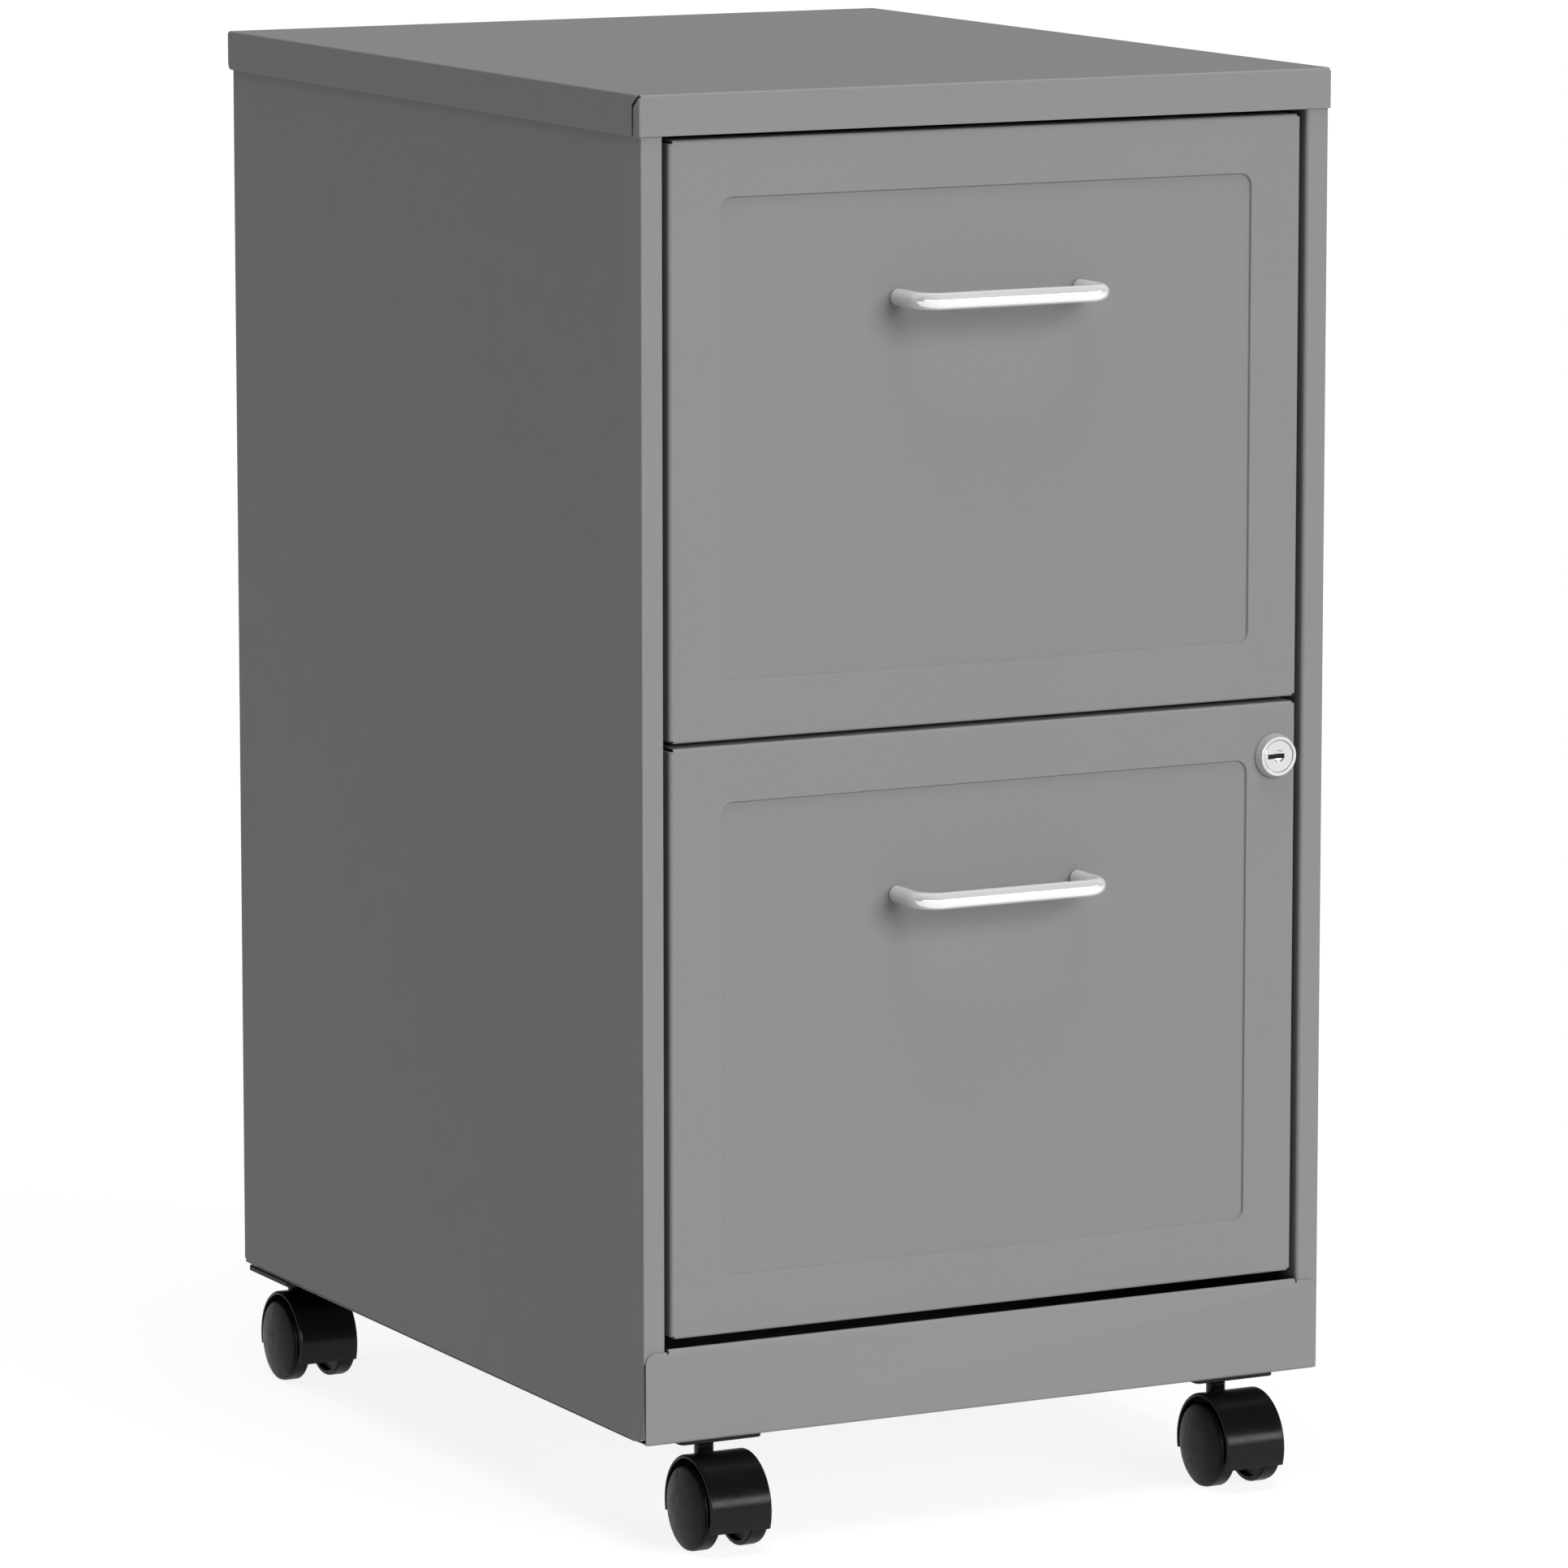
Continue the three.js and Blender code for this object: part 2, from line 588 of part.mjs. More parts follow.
// A fender over both wheels, low at the front, on a web that carries the axle and the stem.
function casterHood() {
  const rear = -0.25;
  const front = Math.PI + 0.33;
  const inner = HOOD_RADIUS - HOOD_SHEET;
  const fender = new THREE.Shape();
  fender.absarc(AXLE_Y, WHEEL_RADIUS, HOOD_RADIUS, rear, front);
  fender.absarc(AXLE_Y, WHEEL_RADIUS, inner, front, rear, true);
  const web = new THREE.Shape();
  web.absarc(AXLE_Y, WHEEL_RADIUS, inner + 1, rear, front);
  const boss = [[0, 30], [BOSS_RADIUS, 30], [BOSS_RADIUS, BOSS_TOP - 1], [4.4, BOSS_TOP], [0, BOSS_TOP]];
  return cut(
    join(
      extrude(fender, 'x', [-HOOD_WIDTH / 2, HOOD_WIDTH / 2], 9),
      extrude(web, 'x', [-HOOD_WEB / 2, HOOD_WEB / 2], 9),
      revolve(boss, 'z'),
    ),
    rod(STEM_RADIUS + GAP, 'z', [27, BOSS_TOP + 1]),
    rod(AXLE_RADIUS + GAP, 'x', [-HOOD_WEB, HOOD_WEB], [0, AXLE_Y, WHEEL_RADIUS]),
  );
}

function casterAxle() {
  return rod(AXLE_RADIUS, 'x', [-14.4, 14.4], [0, AXLE_Y, WHEEL_RADIUS]);
}

// ---------------------------------------------------------------- assembly

const SIDES = [['left', -1], ['right', 1]];
const DRAWERS = [['upper', UPPER_DRAWER_Z, false], ['lower', LOWER_DRAWER_Z, true]];

function caseGroup() {
  const group = new THREE.Group();
  group.add(
    piece('top_cap', topCap(), 'grey_paint'),
    piece('left_side_panel', sidePanel(-1), 'grey_paint'),
    piece('right_side_panel', sidePanel(1), 'grey_paint'),
    piece('back_panel', backPanel(), 'grey_paint'),
    piece('kick_plate', kickPlate(), 'grey_paint'),
    piece('base_panel', basePanel(), 'grey_paint'),
  );
  for (const [level, drawerZ] of DRAWERS) {
    for (const [hand, side] of SIDES) {
      const wall = side * (RAIL_OUTER - RAIL_SHEET);
      const wheelShape = roller(wall, -side, FRONT + CASE_ROLLER_Y, drawerZ + CASE_ROLLER_Z);
      group.add(
        piece(`${level}_${hand}_case_rail`, caseRail(side, drawerZ), 'zinc'),
        piece(`${level}_${hand}_case_roller`, wheelShape, 'nylon'),
      );
    }
  }
  return group;
}

function drawerGroup(level, z, locking) {
  const group = new THREE.Group();
  group.position.set(0, FRONT + FRONT_RECESS, z);
  group.add(
    piece(`${level}_drawer_front`, drawerFront(locking), 'grey_paint'),
    piece(`${level}_drawer_bottom`, drawerBottom(), 'grey_paint'),
    piece(`${level}_drawer_back`, drawerBack(), 'grey_paint'),
    piece(`${level}_handle`, handle(), 'chrome'),
  );
  for (const [hand, side] of SIDES) {
    const sideShape = drawerSide(side, locking && side > 0);
    const rollerShape = roller(side * BOX_X, side, DRAWER_ROLLER_Y, DRAWER_ROLLER_Z);
    const handleScrew = piece(`${level}_handle_${hand}_screw`, screw(4, 13.5), 'zinc');
    handleScrew.position.set(side * HANDLE_SPACING / 2, PRESS_DEPTH + SHEET + GAP, HANDLE_HEIGHT);
    group.add(
      piece(`${level}_drawer_${hand}_side`, sideShape, 'grey_paint'),
      piece(`${level}_${hand}_drawer_roller`, rollerShape, 'nylon'),
      handleScrew,
    );
  }
  if (locking) {
    const camScrew = piece('lock_cam_screw', screw(5, 8), 'zinc');
    camScrew.position.set(LOCK_X, CAM_BACK + 0.5 + GAP, LOCK_Z);
    group.add(
      piece('lock_barrel', lockBarrel(), 'nickel'),
      piece('lock_nut', lockNut(), 'zinc'),
      piece('lock_plug', lockPlug(), 'nickel'),
      piece('lock_cam', lockCam(), 'zinc'),
      camScrew,
    );
  }
  return group;
}

function casterGroup(place, [x, behindFront], hand, side) {
  const group = new THREE.Group();
  const name = `${place}_${hand}_caster`;
  group.position.set(side * x, FRONT + behindFront, 0);
  group.add(
    piece(`${name}_hood`, casterHood(), 'hood_plastic'),
    piece(`${name}_axle`, casterAxle(), 'zinc'),
    piece(`${name}_left_wheel`, wheel(-1), 'wheel_plastic'),
    piece(`${name}_right_wheel`, wheel(1), 'wheel_plastic'),
  );
  return group;
}

const cabinet = new THREE.Group();
cabinet.add(caseGroup());
for (const drawer of DRAWERS) cabinet.add(drawerGroup(...drawer));

// The front plates are set in from the sides, and the rear ones reach out to them.
for (const [hand, side] of SIDES) {
  const [frontX, frontY] = FRONT_CASTER;
  const [rearX, rearY] = REAR_CASTER;
  const frontPlate = casterPlate(
    [side * frontX - 21.3, side * frontX + 21.3],
    [FRONT + 5, FRONT + 47],
    [side * frontX, FRONT + frontY],
  );
  const rearPlate = casterPlate(
    [side * rearX - 19.5, side * rearX + 19.5],
    [CASE_BACK - 53, CASE_BACK - 3],
    [side * rearX, FRONT + rearY],
  );
  cabinet.add(
    piece(`front_${hand}_caster_plate`, frontPlate, 'black_paint'),
    piece(`rear_${hand}_caster_plate`, rearPlate, 'black_paint'),
    casterGroup('front', FRONT_CASTER, hand, side),
    casterGroup('rear', REAR_CASTER, hand, side),
  );
}

export default cabinet;
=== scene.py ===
import json
import math

import bmesh
import bpy
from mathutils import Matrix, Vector


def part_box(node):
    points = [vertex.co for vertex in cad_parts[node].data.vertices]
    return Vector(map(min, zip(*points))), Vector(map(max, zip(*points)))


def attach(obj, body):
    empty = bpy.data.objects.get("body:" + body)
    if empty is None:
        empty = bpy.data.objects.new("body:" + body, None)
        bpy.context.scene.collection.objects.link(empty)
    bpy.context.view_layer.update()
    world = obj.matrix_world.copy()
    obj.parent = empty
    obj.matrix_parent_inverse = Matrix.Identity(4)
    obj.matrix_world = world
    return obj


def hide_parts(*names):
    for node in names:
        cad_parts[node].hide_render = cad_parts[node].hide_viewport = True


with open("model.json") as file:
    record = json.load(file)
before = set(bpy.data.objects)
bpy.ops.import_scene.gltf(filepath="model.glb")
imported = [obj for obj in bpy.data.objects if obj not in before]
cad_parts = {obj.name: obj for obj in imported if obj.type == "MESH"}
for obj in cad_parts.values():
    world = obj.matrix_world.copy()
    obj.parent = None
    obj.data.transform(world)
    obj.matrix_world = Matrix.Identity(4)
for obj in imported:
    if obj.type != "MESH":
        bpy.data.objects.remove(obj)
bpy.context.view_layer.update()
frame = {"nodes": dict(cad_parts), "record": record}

# ---------------------------------------------------------------- driving dimensions

MM = 0.001
SHEET = 0.7 * MM
BEND = 1.3 * MM  # outer radius of a folded edge
WIDE_BEND = 2 * MM  # the same round the drawer fronts and the drawer opening
TIGHT_BEND = 0.9 * MM  # the same along the top cap and down the front corners of the sides
BEND_STEPS = 6
CUT_EDGE = 0.12 * MM  # rounding of a sheet's cut edge
QUARTER = math.pi / 2

SEAM = 1.9 * MM  # between the top cap's front tab and its side
TAB = 6.9 * MM  # how far the cap's front reaches round the side
TAB_CHAMFER = 3.7 * MM
TAB_DROP = 0.4 * MM  # the tab starts this far below the fold
CAP_NOTCH = 2.8 * MM
CAP_REAR_INSET = 0.2 * MM
CAP_REAR_DROP = 0.5 * MM
SEAM_VOID = 14 * MM  # cut off the sides' front corners behind the seam
CAP_CORNER = 3.5 * MM  # rounding of the cap side's rear lower corner
RETURN = 15 * MM
STILE = 11.6 * MM
FOOT_RELIEF = 1.8 * MM
FRONT_RELIEF_END = 4.5 * MM
REAR_RELIEF_END = 1.9 * MM
COLUMN_STEP = 0.02 * MM  # width of a step in a panel's lower or upper edge

KICK_LAP = 1 * MM  # the plate's ends are this much lower than its middle
KICK_CORNER = 5 * MM
KICK_SLIT = 0.6 * MM
KICK_FOOT = 0.4 * MM  # the ends stop this far above the lower fold
KICK_NOTCH_GAP = 0.1 * MM  # between the opening and the notches above the laps
KICK_HEM_GAP = 1.1 * MM  # between the opening and the hem
KICK_NOTCH = 2 * MM

PRESS_WALL = 0.9 * MM
# pressed fields: side and end margins, corner and depth
DRAWER_PRESS = ((26.3 * MM, 26.3 * MM), 6 * MM, 1.2 * MM)
BACK_PRESS = ((46 * MM, 75 * MM), 12 * MM, 2 * MM)
BASE_PRESS = ((70 * MM, 75 * MM), 15 * MM, 2 * MM)
DRAWER_LIP = 8.5 * MM
UPSTAND_INSET = 11 * MM

HANDLE_ROD = 4 * MM
HANDLE_BEND = 10 * MM

WHEEL_RADIUS = 20 * MM
COVER_RADIUS = 18.4 * MM
COVER_RISE = 2.2 * MM
HOOD_RADIUS = 25 * MM
HOOD_SHEET = 1.8 * MM
HOOD_START = math.radians(-14)  # the fender's rear end, from level with the axle
HOOD_SKIRT = 8 * MM  # how far the fender reaches below the axle in front
HOOD_SHOULDER = 1.5 * MM
WEB_HALF = 7 * MM
PLATE_SHEET = 2.5 * MM
PLATE_CORNER = 3 * MM
STEM_TRAIL = 14.5 * MM  # how far the stem stands behind the axle
STEM_RADIUS = 3.85 * MM
STEM_FOOT = 28 * MM
COLLAR_RADIUS = 6.2 * MM
BOSS_RADIUS = 4.6 * MM

GLOW = (0.4, 0.04)  # of the studio walls at the floor and high up
WALL_FADE = (0.04, 0.22)  # heights of a direction, 0 being level and 1 overhead
STRIP_GLOW = 8
STRIP_FOOT = (0.12, 0.2)
STRIP_HEAD = (0.28, 0.38)
STRIP_FRONT = (-0.6, -0.3)

CAMERA_PLACE = (-1.9236, -3.7162, 0.9837)
CAMERA_TILT = 9.018  # degrees below level
CAMERA_TURN = 27.407  # degrees from straight on
LENS = 200

LEVELS = ("upper", "lower")
HANDS = {"left": -1, "right": 1}
ENDS = ("front", "rear")

X, Y, Z = Vector((1, 0, 0)), Vector((0, 1, 0)), Vector((0, 0, 1))

# ---------------------------------------------------------------- materials


def node(tree, kind, inputs=None, **settings):
    """A new node, with its settings and with each input set to a value or joined to a socket."""
    made = tree.nodes.new(kind)
    for key, value in settings.items():
        setattr(made, key, value)
    for key, value in (inputs or {}).items():
        if isinstance(value, bpy.types.NodeSocket):
            tree.links.new(value, made.inputs[key])
        else:
            made.inputs[key].default_value = value
    return made


def new_material(name):
    """An empty material's node tree, its Principled shader and its object coordinates."""
    made = bpy.data.materials.new(name)
    made.use_nodes = True
    tree = made.node_tree
    shader = tree.nodes["Principled BSDF"]
    where = node(tree, "ShaderNodeTexCoord").outputs["Object"]
    return made, tree, shader, where


def noise(tree, where, scale, detail=2.0, stretch=None):
    """Noise with features about 1 / scale metres across, drawn out along an axis by stretch."""
    if stretch:
        where = node(tree, "ShaderNodeMapping", {"Vector": where, "Scale": stretch}).outputs[0]
    inputs = {"Vector": where, "Scale": scale, "Detail": detail}
    return node(tree, "ShaderNodeTexNoise", inputs).outputs["Fac"]


def spread(tree, value, low, high, start=0.3, end=0.7):
    """A noise value spread from low to high."""
    inputs = {"Value": value, "From Min": start, "From Max": end, "To Min": low, "To Max": high}
    return node(tree, "ShaderNodeMapRange", inputs).outputs["Result"]


def mix_colours(tree, factor, first, second):
    inputs = {0: factor, 6: first, 7: second}
    return node(tree, "ShaderNodeMix", inputs, data_type="RGBA").outputs[2]


def grey(level, tint=(1, 1, 1)):
    return (*(level * part for part in tint), 1)


def bump(tree, shader, height, strength, distance):
    inputs = {"Height": height, "Strength": strength, "Distance": distance}
    tree.links.new(node(tree, "ShaderNodeBump", inputs).outputs[0], shader.inputs["Normal"])


def edge_highlight(tree, amount):
    """Painted highlight: 0 on flat ground, up to amount on outer edges, which it lightens to stand in for
    light catching them.
    """
    pointy = node(tree, "ShaderNodeNewGeometry").outputs["Pointiness"]
    return spread(tree, pointy, 0, amount, 0.51, 0.6)


def paint(name, level, tint, rough, grain_depth):
    """Powder coat: a fine grain, a little unevenness in tone and gloss, and outer edges lightened as a
    painted highlight.
    """
    made, tree, shader, where = new_material(name)
    cloud = noise(tree, where, 14, 4)
    tone = mix_colours(
        tree, spread(tree, cloud, 0, 1), grey(level * 0.99, tint), grey(level * 1.01, tint)
    )
    fleck = spread(tree, noise(tree, where, 1300, 2), 0, 0.6)
    tone = mix_colours(tree, fleck, tone, grey(level * 1.12, tint))
    # painted highlight: the outer edges are lightened to stand in for light catching the bends
    highlighted_tone = mix_colours(tree, edge_highlight(tree, 0.4), tone, grey(level * 1.2, tint))
    tree.links.new(highlighted_tone, shader.inputs["Base Color"])
    gloss = spread(tree, noise(tree, where, 60, 5), rough - 0.02, rough + 0.02)
    tree.links.new(gloss, shader.inputs["Roughness"])
    shader.inputs["Specular IOR Level"].default_value = 0.14
    grain = noise(tree, where, 1500, 3)
    bump(tree, shader, grain, 0.35, grain_depth)
    return made


def plated(name, level, tint, rough, scratch, metallic=1.0):
    """Plated metal, with fine scratches along X and faint stains."""
    made, tree, shader, where = new_material(name)
    stain = spread(tree, noise(tree, where, 45, 4), 0, 1)
    tone = mix_colours(tree, stain, grey(level, tint), grey(level * 0.94, tint))
    tree.links.new(tone, shader.inputs["Base Color"])
    shader.inputs["Metallic"].default_value = metallic
    lines = noise(tree, where, 900, 3, stretch=(0.04, 1, 1))
    tree.links.new(spread(tree, lines, rough * 0.8, rough * 1.3), shader.inputs["Roughness"])
    bump(tree, shader, lines, 0.3, scratch)
    return made


def plastic(name, level, rough, grain_depth, tint=(1, 1, 1), specular=0.2):
    """Moulded plastic, with a faint grain and handling marks in its gloss."""
    made, tree, shader, where = new_material(name)
    cloud = spread(tree, noise(tree, where, 70, 3), 0, 1)
    tone = mix_colours(tree, cloud, grey(level * 0.9, tint), grey(level * 1.1, tint))
    # painted highlight: the outer edges are lightened to stand in for light along the rims
    highlighted_tone = mix_colours(tree, edge_highlight(tree, 0.3), tone, grey(level * 2 + 0.01, tint))
    tree.links.new(highlighted_tone, shader.inputs["Base Color"])
    marks = noise(tree, where, 240, 5)
    tree.links.new(spread(tree, marks, rough * 0.85, rough * 1.25), shader.inputs["Roughness"])
    shader.inputs["Specular IOR Level"].default_value = specular
    bump(tree, shader, noise(tree, where, 1800, 2), 0.3, grain_depth)
    return made


NEUTRAL = (1.01, 0.98, 0.99)
FINISHES = {
    "grey_paint": paint("grey_paint", 0.14, NEUTRAL, 0.6, 0.02 * MM),
    "black_paint": paint("black_paint", 0.008, (1, 1, 1.03), 0.45, 0.02 * MM),
    "zinc": plated("zinc", 0.62, (1, 1.01, 1.03), 0.34, 0.01 * MM),
    "chrome": plated("chrome", 0.8, (1, 1, 1), 0.1, 0.001 * MM, 0.62),
    "nickel": plated("nickel", 0.6, (1, 1, 0.995), 0.1, 0.001 * MM, 0.7),
    "hood_plastic": plastic("hood_plastic", 0.003, 0.2, 0.003 * MM),
    "wheel_plastic": plastic("wheel_plastic", 0.002, 0.36, 0.008 * MM, specular=0.1),
    "nylon": plastic("nylon", 0.72, 0.42, 0.01 * MM, (1, 0.99, 0.96), 0.5),
}

# ---------------------------------------------------------------- shapes


def box_of(name):
    """A CAD node's lowest corner, highest corner and middle."""
    low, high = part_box(name)
    return low, high, (low + high) / 2


def arc(centre, radius, start, end, steps):
    """Points of an arc in a plane, ends included."""
    angles = (start + (end - start) * i / steps for i in range(steps + 1))
    return [
        Vector((centre[0] + radius * math.cos(a), centre[1] + radius * math.sin(a))) for a in angles
    ]


def rounded_loop(low, high, radius, steps=8):
    """A rounded rectangle's points, anticlockwise from the foot of its right side."""
    (x0, y0), (x1, y1) = low, high
    r = radius
    return [
        *arc((x1 - r, y0 + r), r, -QUARTER, 0, steps),
        *arc((x1 - r, y1 - r), r, 0, QUARTER, steps),
        *arc((x0 + r, y1 - r), r, QUARTER, 2 * QUARTER, steps),
        *arc((x0 + r, y0 + r), r, 2 * QUARTER, 3 * QUARTER, steps),
    ]


def strips(rows, closed=False):
    """The faces between rows of points, all with as many points."""
    count = len(rows[0])
    last = count if closed else count - 1
    return [
        [low[i], low[(i + 1) % count], high[(i + 1) % count], high[i]]
        for low, high in zip(rows, rows[1:])
        for i in range(last)
    ]


def mesh_of(name, polygons, front=None):
    """A mesh of these polygons, joined where they meet. An open one faces front at its largest face."""
    bm = bmesh.new()
    for polygon in polygons:
        bm.faces.new([bm.verts.new(point) for point in polygon])
    bmesh.ops.remove_doubles(bm, verts=bm.verts, dist=1e-6)
    bmesh.ops.recalc_face_normals(bm, faces=bm.faces)
    if front:
        largest = max(bm.faces, key=lambda face: face.calc_area())
        if largest.normal.dot(front) < 0:
            bmesh.ops.reverse_faces(bm, faces=bm.faces)
    for face in bm.faces:
        face.smooth = True
    mesh = bpy.data.meshes.new(name)
    bm.to_mesh(mesh)
    bm.free()
    made = bpy.data.objects.new(name, mesh)
    bpy.context.scene.collection.objects.link(made)
    return made


def dress(made, finish, thickness=None, edge=CUT_EDGE):
    """Gives a piece its sheet thickness, its rounded edges and its finish."""
    if thickness:
        solidify = made.modifiers.new("thickness", "SOLIDIFY")
        solidify.thickness = thickness
        solidify.offset = -1
        solidify.use_even_offset = True
    bevel = made.modifiers.new("edges", "BEVEL")
    bevel.width = edge
    bevel.segments = 2
    bevel.limit_method = "ANGLE"
    bevel.angle_limit = math.radians(35)
    weighted = made.modifiers.new("shading", "WEIGHTED_NORMAL")
    weighted.keep_sharp = True
    made.data.materials.append(FINISHES[finish])
    return made


def place(made, body, *nodes):
    """Puts a piece on its body, in place of its CAD nodes."""
    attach(made, body)
    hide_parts(*nodes)
    return made


def lathe(name, profile, axis, centre, sides=64):
    """Turns (radius, distance) points about an axis through a centre.

    The profile ends on the axis or closes.
    """
    side_a, side_b = {"x": (Y, Z), "y": (Z, X), "z": (X, Y)}[axis]
    along = side_a.cross(side_b)
    rows = []
    for i in range(sides):
        angle = 2 * math.pi * i / sides
        out = side_a * math.cos(angle) + side_b * math.sin(angle)
        rows.append([centre + out * radius + along * distance for radius, distance in profile])
    return mesh_of(name, strips([*rows, rows[0]]))


def prism(name, outline, axis, low, high):
    """An outline pushed along an axis. It is drawn in (y, z) for axis x, (x, z) for y and (x, y) for z."""
    side_a, side_b, along = {"x": (Y, Z, X), "y": (X, Z, Y), "z": (X, Y, Z)}[axis]
    flat = [side_a * point[0] + side_b * point[1] for point in outline]
    bottom = [point + along * low for point in flat]
    top = [point + along * high for point in flat]
    return mesh_of(name, [bottom, top, *strips([bottom, top], closed=True)])


def fold_path(folds):
    """A folded edge's section as (out, front) points, from where the flat face ends.

    Each fold is (reach, radius) and turns behind the sheet. The reach and the radius are measured over
    the outside.
    """
    spot, heading, front = Vector((-folds[0][1], 0)), Vector((1, 0)), Vector((0, 1))
    path = [spot]
    for index, (reach, radius) in enumerate(folds):
        centre = spot - front * radius
        for step in range(1, BEND_STEPS + 1):
            angle = QUARTER * step / BEND_STEPS
            path.append(centre + front * radius * math.cos(angle) + heading * radius * math.sin(angle))
        heading, front = -front, heading
        next_radius = folds[index + 1][1] if index + 1 < len(folds) else 0
        spot = path[-1] + heading * (reach - radius - next_radius)
        path.append(spot)
    return path


def press_rings(low, high, corner, depth):
    """The pressed wall of a field as loops of (across, up, behind) points, from the rim in."""
    steps = 6
    rings = []
    for i in range(steps + 1):
        t = i / steps
        inset = PRESS_WALL * t
        behind = depth * t * t * (3 - 2 * t)
        loop = rounded_loop(
            (low[0] + inset, low[1] + inset), (high[0] - inset, high[1] - inset), corner - inset * 0.5
        )
        rings.append([(point[0], point[1], behind) for point in loop])
    return rings


def pan(origin, across, up, size, edges, press=None):
    """A rectangular sheet with folded edges, as polygons. origin is its lower left outer corner.

    edges gives for left, right, bottom and top its folds and, if need be, the span along the edge.
    press gives a pressed field's margin on each side, its corner and its depth.
    """
    front = across.cross(up)
    width, height = size

    def at(u, v, w=0.0):
        return origin + across * u + up * v + front * w

    def inset(edge):
        return edges[edge][0][0][1] if edge in edges else 0.0

    u0, u1 = inset("left"), width - inset("right")
    v0, v1 = inset("bottom"), height - inset("top")
    starts = {
        "bottom": (lambda t, out, w: at(t, -out, w), u0, u1),
        "right": (lambda t, out, w: at(width + out, t, w), v0, v1),
        "top": (lambda t, out, w: at(t, height + out, w), u0, u1),
        "left": (lambda t, out, w: at(-out, t, w), v0, v1),
    }
    polygons = []
    borders = {}
    for edge, (point, low, high) in starts.items():
        border = [low, high]
        if edge in edges:
            folds, span = edges[edge]
            a, b = (max(low, span[0]), min(high, span[1])) if span else (low, high)
            border = sorted({low, a, b, high})
            rows = [[point(t, out, w) for t in (a, b)] for out, w in fold_path(folds)]
            polygons += strips(rows)
        out = -inset(edge)
        points = [point(t, out, 0.0) for t in border]
        borders[edge] = points if edge in ("bottom", "right") else points[::-1]
    ring = [borders["bottom"], borders["right"], borders["top"], borders["left"]]
    if not press:
        polygons.append([point for border in ring for point in border[:-1]])
        return polygons
    margins, corner, depth = press
    rings = press_rings(
        (margins[0], margins[1]), (width - margins[0], height - margins[1]), corner, depth
    )
    loops = [[at(u, v, -w) for u, v, w in loop] for loop in rings]
    polygons += strips(loops, closed=True)
    polygons.append(loops[-1])
    outer = loops[0]
    steps = len(outer) // 4
    # each rim corner fans to its arc, and each rim side meets the stretch between two arcs
    rim_corners = [ring[1][0], ring[2][0], ring[3][0], ring[0][0]]
    for quarter, rim_corner in enumerate(rim_corners):
        part = outer[quarter * steps : (quarter + 1) * steps]
        polygons += [[rim_corner, part[i + 1], part[i]] for i in range(steps - 1)]
        following = outer[((quarter + 1) * steps) % len(outer)]
        polygons.append([*ring[(quarter + 1) % 4], following, part[-1]])
    return polygons


def carve(made, cutter):
    """Cuts one mesh out of another for good, and removes the cutter."""
    boolean = made.modifiers.new("carve", "BOOLEAN")
    boolean.object = cutter
    boolean.operation = "DIFFERENCE"
    boolean.solver = "MANIFOLD"
    bpy.context.view_layer.update()
    evaluated = made.evaluated_get(bpy.context.evaluated_depsgraph_get())
    made.data = bpy.data.meshes.new_from_object(evaluated)
    made.data.materials.clear()
    for face in made.data.polygons:
        face.material_index = 0
    made.modifiers.clear()
    bpy.data.objects.remove(cutter)
    return made


def block(name, low, high):
    """A plain box between two corners."""
    outline = [(low[0], low[1]), (high[0], low[1]), (high[0], high[1]), (low[0], high[1])]
    return prism(name, outline, "z", low[2], high[2])


# ---------------------------------------------------------------- case


def quarter_round(radius):
    """A fold's section as (out, rise) points, from the top down to the side."""
    angles = [QUARTER * i / BEND_STEPS for i in range(BEND_STEPS + 1)]
    return [(radius * math.sin(angle), radius * math.cos(angle)) for angle in angles]


def cap_side(side, low, high):
    """One side of the cap: its fold, its face, and the front's tab wrapped round beside it."""
    half, front, back, bottom = high.x, low.y, high.y, low.z
    r = TIGHT_BEND
    flat = half - r
    fold = high.z - r
    notch = front + CAP_NOTCH
    rear = back - CAP_REAR_INSET
    seam_y = front + TAB + SEAM / 2
    section = quarter_round(r)

    def at(y, z, out=half):
        return Vector((side * out, y, z))

    polygons = strips([
        [at(y, fold + rise, flat + out) for y in (notch, back - r)] for out, rise in section
    ])
    corner = arc((rear - CAP_CORNER, bottom + CAP_CORNER), CAP_CORNER, 0, -QUARTER, 6)
    polygons.append([
        at(notch, fold),
        at(back - r, fold),
        at(rear, fold - CAP_REAR_DROP),
        *[at(point[0], point[1]) for point in corner],
        at(seam_y, bottom),
        at(seam_y, fold - TAB_CHAMFER),
    ])
    tab_top = fold - TAB_DROP
    polygons += strips([
        [at(front + r - rise, z, flat + out) for out, rise in section] for z in (bottom, tab_top)
    ])
    tab_back = seam_y - SEAM
    polygons.append([
        at(front + r, bottom),
        at(tab_back, bottom),
        at(tab_back, fold - TAB_CHAMFER - SEAM / 2),
        at(notch - SEAM, tab_top),
        at(front + r, tab_top),
    ])
    return polygons


def top_cap():
    """The cap: a top with open corners, its front wrapped round the sides as a chamfered tab."""
    low, high, _ = box_of("top_cap")
    front, back, bottom, top = low.y, high.y, low.z, high.z
    r = TIGHT_BEND
    flat = high.x - r
    fold = top - r
    notch = front + CAP_NOTCH
    polygons = [[
        Vector((-flat, front + r, top)),
        Vector((flat, front + r, top)),
        Vector((flat, notch, top)),
        Vector((flat, back - r, top)),
        Vector((-flat, back - r, top)),
        Vector((-flat, notch, top)),
    ]]
    for side in (-1, 1):
        polygons += cap_side(side, low, high)
    for y, inward in ((front, 1), (back, -1)):
        edge = [(y + inward * (r - out), fold + rise) for out, rise in quarter_round(r)]
        levels = (fold, fold - TAB_DROP, bottom) if inward > 0 else (fold, bottom)
        for path in (edge, [(y, z) for z in levels]):
            polygons += strips([[Vector((x, v, w)) for x in (-flat, flat)] for v, w in path])
    made = dress(mesh_of("top_cap_sheet", polygons, Z), "grey_paint", SHEET)
    place(made, "case", "top_cap")


